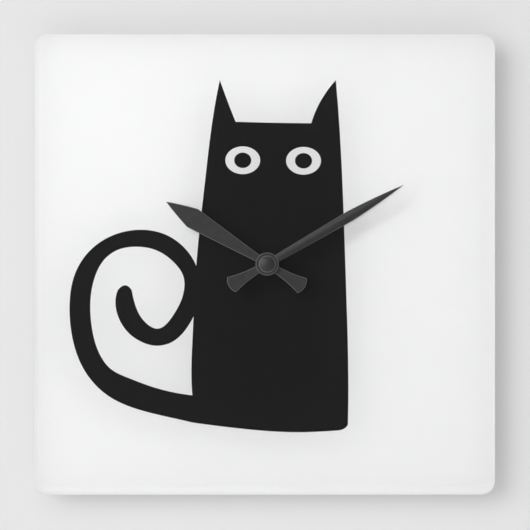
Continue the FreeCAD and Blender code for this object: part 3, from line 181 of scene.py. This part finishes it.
def acrylic(name):
    """Clear cast acrylic. Lamps shine through it onto the print, less so where it is rounded."""
    surface = Surface(name, Transmission_Weight=1.0, IOR=1.49, Roughness=0.0)
    surface.shader.inputs["Base Color"].default_value = (0.995, 0.998, 1.0, 1)
    surface.roughen(surface.noise(12 * MM), 0.0, 0.03)
    through = surface.spread(
        surface.level(), LIGHT_THROUGH_ROUND, LIGHT_THROUGH_FLAT, ROUND_LEVEL, FLAT_LEVEL
    )
    clear = surface.add("ShaderNodeBsdfTransparent")
    surface.link(through, clear.inputs["Color"])
    path = surface.add("ShaderNodeLightPath")
    surface.show_by(path.outputs["Is Shadow Ray"], surface.shader, clear)
    return surface.material


LACQUER_DARK = (0.020, 0.020, 0.020)
LACQUER_LIGHT = (0.028, 0.028, 0.028)
EDGE_HIGHLIGHT_TINT = (0.16, 0.16, 0.16)
EDGE_LEVEL = 0.86            # how squarely a hand faces the room where its painted edge highlight is full
FACE_LEVEL = 0.9             # and where there is none


def painted(name):
    """Satin charcoal lacquer on the aluminium hands, with a painted highlight (a lighter colour)
    where it bends over an edge.
    """
    surface = Surface(name, Roughness=0.42, Specular_IOR_Level=0.5)
    mottle = surface.spread(surface.noise(2.5 * MM, 3.0), 0, 1)
    full = surface.tint(mottle, LACQUER_DARK, LACQUER_LIGHT)
    # painted highlight: the chamfers and sides, wherever a hand turns away from the room, get a
    # lighter colour in place of the light they catch
    painted_edge_highlight_mask = surface.spread(surface.level(), 1, 0, EDGE_LEVEL, FACE_LEVEL)
    edge_highlight = surface.tint(painted_edge_highlight_mask, LACQUER_DARK, EDGE_HIGHLIGHT_TINT)
    surface.link(full.outputs["Result"], edge_highlight.inputs["A"])
    surface.roughen(surface.noise(0.8 * MM, 4.0), 0.36, 0.48)
    surface.bump(surface.noise(0.35 * MM), 0.004 * MM)
    return surface.material


SLEEVE_BANDS = [             # where along the cell each colour starts
    (0.0, (0.02, 0.07, 0.16)),
    (0.70, (0.62, 0.62, 0.60)),
    (0.74, (0.45, 0.05, 0.04)),
]


def sleeve(name):
    """Printed battery sleeve: two plain colours, with a light band between them."""
    low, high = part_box("battery_sleeve")
    surface = Surface(name, Roughness=0.28, Coat_Weight=0.4, Coat_Roughness=0.08)
    split = surface.add("ShaderNodeSeparateXYZ")
    surface.link(surface.coordinates, split.inputs["Vector"])
    place = surface.add("ShaderNodeMapRange")
    place.inputs["From Min"].default_value = low.x
    place.inputs["From Max"].default_value = high.x
    surface.link(split.outputs["X"], place.inputs["Value"])
    ramp = surface.add("ShaderNodeValToRGB")
    ramp.color_ramp.interpolation = "CONSTANT"
    for stop, colour in SLEEVE_BANDS:
        element = ramp.color_ramp.elements.new(stop) if stop else ramp.color_ramp.elements[0]
        element.color = (*colour, 1)
    ramp.color_ramp.elements.remove(ramp.color_ramp.elements[-1])
    surface.link(place.outputs["Result"], ramp.inputs["Fac"])
    surface.link(ramp.outputs["Color"], surface.shader.inputs["Base Color"])
    surface.bump(surface.noise(2.0 * MM), 0.01 * MM)
    return surface.material


ALONG_X = (0.05, 1, 1)
ALONG_Z = (1, 1, 0.05)
ROUND_Y = (1, 8, 1)
WOUND_Z = (1, 1, 12)
EVENLY = (1, 1, 1)

BLACK_INK = (0.010,) * 3, (0.013,) * 3
WHITE_INK = (0.885, 0.885, 0.89), (0.905, 0.905, 0.905)
RUBBER = (0.018,) * 3, (0.028,) * 3
STEEL = (0.58, 0.59, 0.6), (0.66, 0.66, 0.65)
BRASS = (0.72, 0.52, 0.22), (0.8, 0.61, 0.3)
CASE = (0.016, 0.016, 0.017), (0.024, 0.024, 0.025)
WHITE_NYLON = (0.74, 0.73, 0.69), (0.8, 0.79, 0.76)
NATURAL_NYLON = (0.72, 0.64, 0.44), (0.78, 0.71, 0.52)
BOARD = (0.012, 0.09, 0.035), (0.02, 0.13, 0.055)
COPPER = (0.6, 0.22, 0.09), (0.75, 0.33, 0.16)
IRON = (0.35, 0.35, 0.34), (0.45, 0.45, 0.43)
RESIN = (0.01,) * 3, (0.014,) * 3
MAGNET = (0.2, 0.2, 0.21), (0.27, 0.27, 0.28)

FINISHES = {
    "clear_acrylic": acrylic("clear_acrylic_look"),
    "black_ink": ink("black_ink_look", *BLACK_INK),
    "white_ink": ink("white_ink_look", *WHITE_INK),
    "black_rubber": moulded("black_rubber_look", *RUBBER, 0.8, 0.4 * MM, 0.012 * MM),
    "plated_steel": metal("plated_steel_look", *STEEL, 0.3, ALONG_Z),
    "turned_brass": metal("turned_brass_look", *BRASS, 0.25, ROUND_Y),
    "black_case": moulded("black_case_look", *CASE, 0.5),
    "white_nylon": moulded("white_nylon_look", *WHITE_NYLON, 0.42),
    "natural_nylon": moulded("natural_nylon_look", *NATURAL_NYLON, 0.38),
    "board_green": moulded("board_green_look", *BOARD, 0.35),
    "copper_wire": metal("copper_wire_look", *COPPER, 0.3, WOUND_Z, 0.02 * MM, 0.4 * MM),
    "soft_iron": metal("soft_iron_look", *IRON, 0.42, ALONG_X),
    "black_resin": moulded("black_resin_look", *RESIN, 0.2, 1.0 * MM, 0.01 * MM),
    "magnet_grey": metal("magnet_grey_look", *MAGNET, 0.5, EVENLY),
    "charcoal_paint": painted("charcoal_paint_look"),
    "sleeve_print": sleeve("sleeve_print_look"),
}


# ---------------------------------------------------------------- meshes


MOULDED_SHARP = 35           # degrees between faces from which an edge shows as a line
POLISHED_SHARP = 40
STAMPED_SHARP = 20
FLATS_FIRST = 100            # the largest face at a corner sets its normal


def finish_piece(name, mesh, node, sharp_from, even=True):
    """Puts a mesh in the scene in place of a CAD node, with that node's body and finish.

    Even shading keeps wide flats flat right up to their eased edges.
    """
    piece = bpy.data.objects.new(name, mesh)
    bpy.context.scene.collection.objects.link(piece)
    mesh.materials.clear()
    mesh.materials.append(FINISHES[SLOT_OF[node]])
    mesh.shade_smooth()
    mesh.set_sharp_from_angle(angle=math.radians(sharp_from))
    if even:
        flatten = piece.modifiers.new("even_normals", "WEIGHTED_NORMAL")
        flatten.keep_sharp = True
        flatten.weight = FLATS_FIRST
    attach(piece, BODY_OF[node])
    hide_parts(node)
    return piece


WELD = 1e-4 * MM             # corners closer than this are one
FLAT_WITHIN = math.radians(0.3)
SHARP_CORNER = math.radians(25)


def plain_shape(node):
    """A CAD node's shape as an editable mesh, with every flat face in one piece."""
    bm = bmesh.new()
    bm.from_mesh(NODES[node].data)
    bmesh.ops.remove_doubles(bm, verts=bm.verts, dist=WELD)
    bmesh.ops.dissolve_limit(bm, angle_limit=FLAT_WITHIN, verts=bm.verts, edges=bm.edges)
    bm.normal_update()
    return bm


def bevel(bm, edges, width, segments, clamp):
    """Cuts edges back by a width; clamped, a cut stops where it would meet another."""
    bmesh.ops.bevel(
        bm,
        geom=edges,
        offset=width,
        segments=segments,
        profile=0.5,
        affect="EDGES",
        clamp_overlap=clamp,
    )


def mesh_from(bm, name):
    """Ends the editing of a mesh and keeps it under a name."""
    mesh = bpy.data.meshes.new(name)
    bm.to_mesh(mesh)
    bm.free()
    return mesh


def eased(node, width):
    """A CAD node's shape with its sharp edges eased as a mould or a stamp leaves them."""
    bm = plain_shape(node)
    sharp = [
        edge
        for edge in bm.edges
        if len(edge.link_faces) == 2 and edge.calc_face_angle(0) > SHARP_CORNER
    ]
    bevel(bm, sharp, width, segments=2, clamp=True)
    bmesh.ops.remove_doubles(bm, verts=bm.verts, dist=WELD)
    mesh = mesh_from(bm, node + "_eased")
    return finish_piece(mesh.name, mesh, node, MOULDED_SHARP)


DOME_STEEPEST = 0.8          # how squarely faces look at the room: the dome at its sides,
DOME_FLATTEST = 0.99995      # along its crest,
SIDE_LEAN = 0.3              # and a hand's upright sides
CHAMFER = 0.28 * MM
BLADE_DOME = 6.8 * MM


def rounded(mesh, radius):
    """Shades the facets of a domed blade as the one cylinder they come from."""
    tip = max(mesh.vertices, key=lambda corner: corner.co.x**2 + corner.co.z**2).co
    across = Vector((-tip.z, 0, tip.x)).normalized()
    normals = [corner.vector.copy() for corner in mesh.corner_normals]
    for face in mesh.polygons:
        if DOME_STEEPEST < -face.normal.y < DOME_FLATTEST:
            for corner in face.loop_indices:
                lean = mesh.vertices[mesh.loops[corner].vertex_index].co.dot(across) / radius
                normals[corner] = across * lean - Vector((0, math.sqrt(1 - lean**2), 0))
    mesh.normals_split_custom_set(normals)


def coined(node, dome=None):
    """A hand's shape with a narrow chamfer pressed round its front faces."""
    bm = plain_shape(node)
    rim = [
        edge
        for edge in bm.edges
        if min(face.normal.y for face in edge.link_faces) < -DOME_STEEPEST
        and max(face.normal.y for face in edge.link_faces) > -SIDE_LEAN
        and edge.is_convex
    ]
    bevel(bm, rim, CHAMFER, segments=1, clamp=False)
    mesh = mesh_from(bm, node + "_coined")
    old_shading = mesh.attributes.get("custom_normal")
    if old_shading:
        mesh.attributes.remove(old_shading)
    piece = finish_piece(mesh.name, mesh, node, STAMPED_SHARP, even=False)
    if dome:
        rounded(mesh, dome)
    return piece


PANEL_CORNER = 8.3 * MM
LEAST_CORNER = 0.5 * MM
PANEL_STEPS = 16
PILLOW_STEPS = 8
PILLOW_START = 7.7 * MM      # how far in from its sides the front begins to fall away
ROUND_START = 2.7 * MM       # and where it turns down sharply
PILLOW_SLOPE = math.radians(9)
PILLOW_LEAD = 0.4 * MM       # the last of the flat, kept as a strip of its own
PRINT_SINK = 0.05 * MM       # the print lies in the acrylic's back, with no air between
HOLE_IN_WASHER = 2.4 * MM    # how far the hole keeps inside the washer's edge
HOLE_EASE = 0.2 * MM


def square_loop(centre, half, inset, y):
    """Points round a square with rounded corners, anticlockwise as the room sees it."""
    radius = max(PANEL_CORNER - inset, LEAST_CORNER)
    middle = half - inset - radius
    loop = []
    for turn in range(4):
        start = turn * math.pi / 2
        cx = centre.x + middle * (1 if turn in (0, 3) else -1)
        cz = centre.z + middle * (1 if turn in (0, 1) else -1)
        for i in range(PANEL_STEPS + 1):
            angle = start + i * math.pi / 2 / PANEL_STEPS
            loop.append(Vector((cx + radius * math.cos(angle), y, cz + radius * math.sin(angle))))
    return loop


def circle_loop(radius, y, like):
    """Points round the axis of the hands, each at the angle of its fellow in another loop."""
    return [
        Vector((radius * math.cos(a), y, radius * math.sin(a)))
        for a in (math.atan2(point.z, point.x) for point in like)
    ]


def shell(loops):
    """Closed mesh between loops of equally many points, the last joined to the first."""
    bm = bmesh.new()
    rings = [[bm.verts.new(point) for point in loop] for loop in loops]
    count = len(loops[0])
    for one, two in zip(rings, rings[1:] + rings[:1]):
        for i in range(count):
            j = (i + 1) % count
            bm.faces.new((one[i], one[j], two[j], two[i]))
    bmesh.ops.recalc_face_normals(bm, faces=bm.faces)
    return mesh_from(bm, "shell")


def pillow_profile():
    """(inset, fall) of the front from where it is flat to where it meets the side."""
    gentle = (PILLOW_START - ROUND_START) / math.sin(PILLOW_SLOPE)
    tight = ROUND_START / (1 - math.sin(PILLOW_SLOPE))
    profile = [(PILLOW_START + PILLOW_LEAD, 0.0)]
    for i in range(PILLOW_STEPS + 1):
        angle = PILLOW_SLOPE * i / PILLOW_STEPS
        profile.append((PILLOW_START - gentle * math.sin(angle), gentle * (1 - math.cos(angle))))
    fall = profile[-1][1]
    for i in range(1, PILLOW_STEPS + 1):
        angle = PILLOW_SLOPE + (math.pi / 2 - PILLOW_SLOPE) * i / PILLOW_STEPS
        inset = ROUND_START - tight * (math.sin(angle) - math.sin(PILLOW_SLOPE))
        profile.append((inset, fall + tight * (math.cos(PILLOW_SLOPE) - math.cos(angle))))
    return profile


def acrylic_panel():
    """The clear plate, with its front falling away softly to polished round edges."""
    low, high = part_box("face_panel")
    centre, half = (low + high) / 2, (high.x - low.x) / 2
    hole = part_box("clamp_washer")[1].x - HOLE_IN_WASHER
    back = high.y + PRINT_SINK
    loops = [square_loop(centre, half, 0.0, back)]
    for inset, fall in reversed(pillow_profile()):
        loops.append(square_loop(centre, half, inset, low.y + fall))
    outer = loops[-1]
    loops.append(circle_loop(hole + HOLE_EASE, low.y, outer))
    loops.append(circle_loop(hole, low.y + HOLE_EASE, outer))
    loops.append(circle_loop(hole, back, outer))
    return finish_piece("acrylic_panel", shell(loops), "face_panel", POLISHED_SHARP)


acrylic_panel()
EASED = {
    "centre_cap": 0.2 * MM,
    "case_front": 0.3 * MM,
    "case_back": 0.12 * MM,
    "set_knob": 0.1 * MM,
    "hanger_plate": 0.12 * MM,
    "clamp_nut": 0.25 * MM,
    "rubber_gasket": 0.2 * MM,
}
for name, width in EASED.items():
    eased(name, width)
coined("hour_hand")
coined("minute_hand", BLADE_DOME)
for name, item in NODES.items():
    item.material_slots[0].material = FINISHES[SLOT_OF[name]]


# ---------------------------------------------------------------- wall, floor, lamps, camera


def sheet_of(name, corners, material):
    """One flat sheet of the room round the clock."""
    mesh = bpy.data.meshes.new(name)
    mesh.from_pydata(corners, [], [(0, 1, 2, 3)])
    mesh.materials.append(material)
    item = bpy.data.objects.new(name, mesh)
    bpy.context.scene.collection.objects.link(item)
    return item


def plaster(name, colour, one_sided):
    """Pale matt paint. One-sided, it isn't there for whoever looks from behind the wall."""
    surface = Surface(name, Roughness=0.85, Specular_IOR_Level=0.2)
    lighter = [channel * 1.01 for channel in colour]
    surface.tint(surface.spread(surface.noise(40 * MM, 3.0), 0, 1), colour, lighter)
    surface.bump(surface.noise(1.2 * MM, 3.0), 0.02 * MM)
    if one_sided:
        sides = surface.add("ShaderNodeNewGeometry")
        clear = surface.add("ShaderNodeBsdfTransparent")
        surface.show_by(sides.outputs["Backfacing"], surface.shader, clear)
    return surface.material


WALL_Y = 0.2 * MM
WALL_HALF = 6.0
FLOOR_Z = -1.6
FLOOR_DEPTH = 8.0
PALE = (0.772, 0.772, 0.772)

wall = sheet_of(
    "room_wall",
    [
        (-WALL_HALF, WALL_Y, FLOOR_Z),
        (WALL_HALF, WALL_Y, FLOOR_Z),
        (WALL_HALF, WALL_Y, WALL_HALF),
        (-WALL_HALF, WALL_Y, WALL_HALF),
    ],
    plaster("wall_paint", PALE, True),
)
wall.visible_shadow = False
wall.visible_diffuse = False
sheet_of(
    "room_floor",
    [
        (-WALL_HALF, -FLOOR_DEPTH, FLOOR_Z),
        (WALL_HALF, -FLOOR_DEPTH, FLOOR_Z),
        (WALL_HALF, WALL_Y, FLOOR_Z),
        (-WALL_HALF, WALL_Y, FLOOR_Z),
    ],
    plaster("floor_paint", PALE, False),
)


def lamp(name, place, aim, width, power):
    """Round soft lamp: its place and width in metres, its power in watts."""
    data = bpy.data.lights.new(name, "AREA")
    data.shape = "DISK"
    data.size = width
    data.energy = power
    item = bpy.data.objects.new(name, data)
    item.location = place
    item.rotation_euler = (Vector(aim) - Vector(place)).to_track_quat("-Z", "Y").to_euler()
    bpy.context.scene.collection.objects.link(item)
    return item


FACE = (0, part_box("face_panel")[0].y, 0)
AXIS = (0, 0, 0)
WINDOW = (-3.0, -4.0, 0.9)
window = lamp("window_left", WINDOW, FACE, 4.0, 110)
sheen = lamp("window_sheen", WINDOW, FACE, 4.0, 21)
top = lamp("window_top", (-0.7, -4.1, 2.1), FACE, 4.0, 35)
room = lamp("room_light", (-0.2, -4.5, 0.2), FACE, 0.5, 71)
glow = lamp("corner_glow", (-0.5, -0.7, 0.5), FACE, 0.3, 1.6)
for item in (room, glow):
    item.visible_glossy = False
room.visible_transmission = False
back_lamps = [
    lamp("behind_left", (-1.2, 1.4, 1.2), AXIS, 0.9, 20),
    lamp("behind_right", (1.4, 1.2, 0.4), AXIS, 0.9, 12),
    lamp("behind_soft", (0.5, 2.8, 0.7), AXIS, 2.6, 26),
]
SEEN_FROM_BEHIND = [
    "case_front",
    "case_back",
    "set_knob",
    "hanger_plate",
    "rubber_gasket",
    "battery_cell",
    "battery_sleeve",
    "battery_spring",
    "contact_plus",
    "contact_minus",
    "backing_print",
]


def shine_on(lamps, name, receivers):
    """Keeps lamps to the pieces named."""
    group = bpy.data.collections.new(name)
    for item in receivers:
        group.objects.link(item)
    for item in lamps:
        item.light_linking.receiver_collection = group


panel = bpy.data.objects["acrylic_panel"]
shine_on([glow], "printed", [NODES["backing_print"], NODES["cat_print"]])
shine_on([sheen], "polished", [panel])    # the window shows only faintly in the polished face
shine_on(
    [window, top],
    "unpolished",
    [item for item in bpy.context.scene.objects if item.type == "MESH" and item != panel],
)
shine_on(
    back_lamps,
    "seen_from_behind",
    [bpy.data.objects.get(name + "_eased") or NODES[name] for name in SEEN_FROM_BEHIND],
)
for item in back_lamps:
    item.data.cycles.max_bounces = 0    # none of it comes round the face onto the wall


def studio_world():
    """Dim even light from all round, which the camera sees as a pale backdrop."""
    world = bpy.data.worlds.new("studio")
    bpy.context.scene.world = world
    world.use_nodes = True
    tree = world.node_tree
    dim = tree.nodes["Background"]
    dim.inputs["Color"].default_value = (1, 1, 1, 1)
    dim.inputs["Strength"].default_value = 0.12
    shown = tree.nodes.new("ShaderNodeBackground")
    shown.inputs["Color"].default_value = (0.76, 0.76, 0.76, 1)
    path = tree.nodes.new("ShaderNodeLightPath")
    mix = tree.nodes.new("ShaderNodeMixShader")
    tree.links.new(path.outputs["Is Camera Ray"], mix.inputs["Fac"])
    tree.links.new(dim.outputs["Background"], mix.inputs[1])
    tree.links.new(shown.outputs["Background"], mix.inputs[2])
    tree.links.new(mix.outputs["Shader"], tree.nodes["World Output"].inputs["Surface"])


studio_world()

VIEW_WIDTH = 314.6 * MM      # how much of the print's plane the picture takes in
CAMERA_REACH = 1.4           # from the print to the camera
CAMERA_ASIDE = -1.3 * MM      # from the hands' axis
CAMERA_RISE = -0.55 * MM
PRINT_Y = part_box("cat_print")[0].y
camera = bpy.data.objects.new("camera", bpy.data.cameras.new("camera"))
bpy.context.scene.collection.objects.link(camera)
camera.data.sensor_width = 36.0
camera.data.lens = camera.data.sensor_width * CAMERA_REACH / VIEW_WIDTH
camera.location = (CAMERA_ASIDE, PRINT_Y - CAMERA_REACH, CAMERA_RISE)
camera.rotation_euler = (math.pi / 2, 0, 0)
bpy.context.scene.camera = camera
bpy.context.scene.view_settings.view_transform = "Standard"
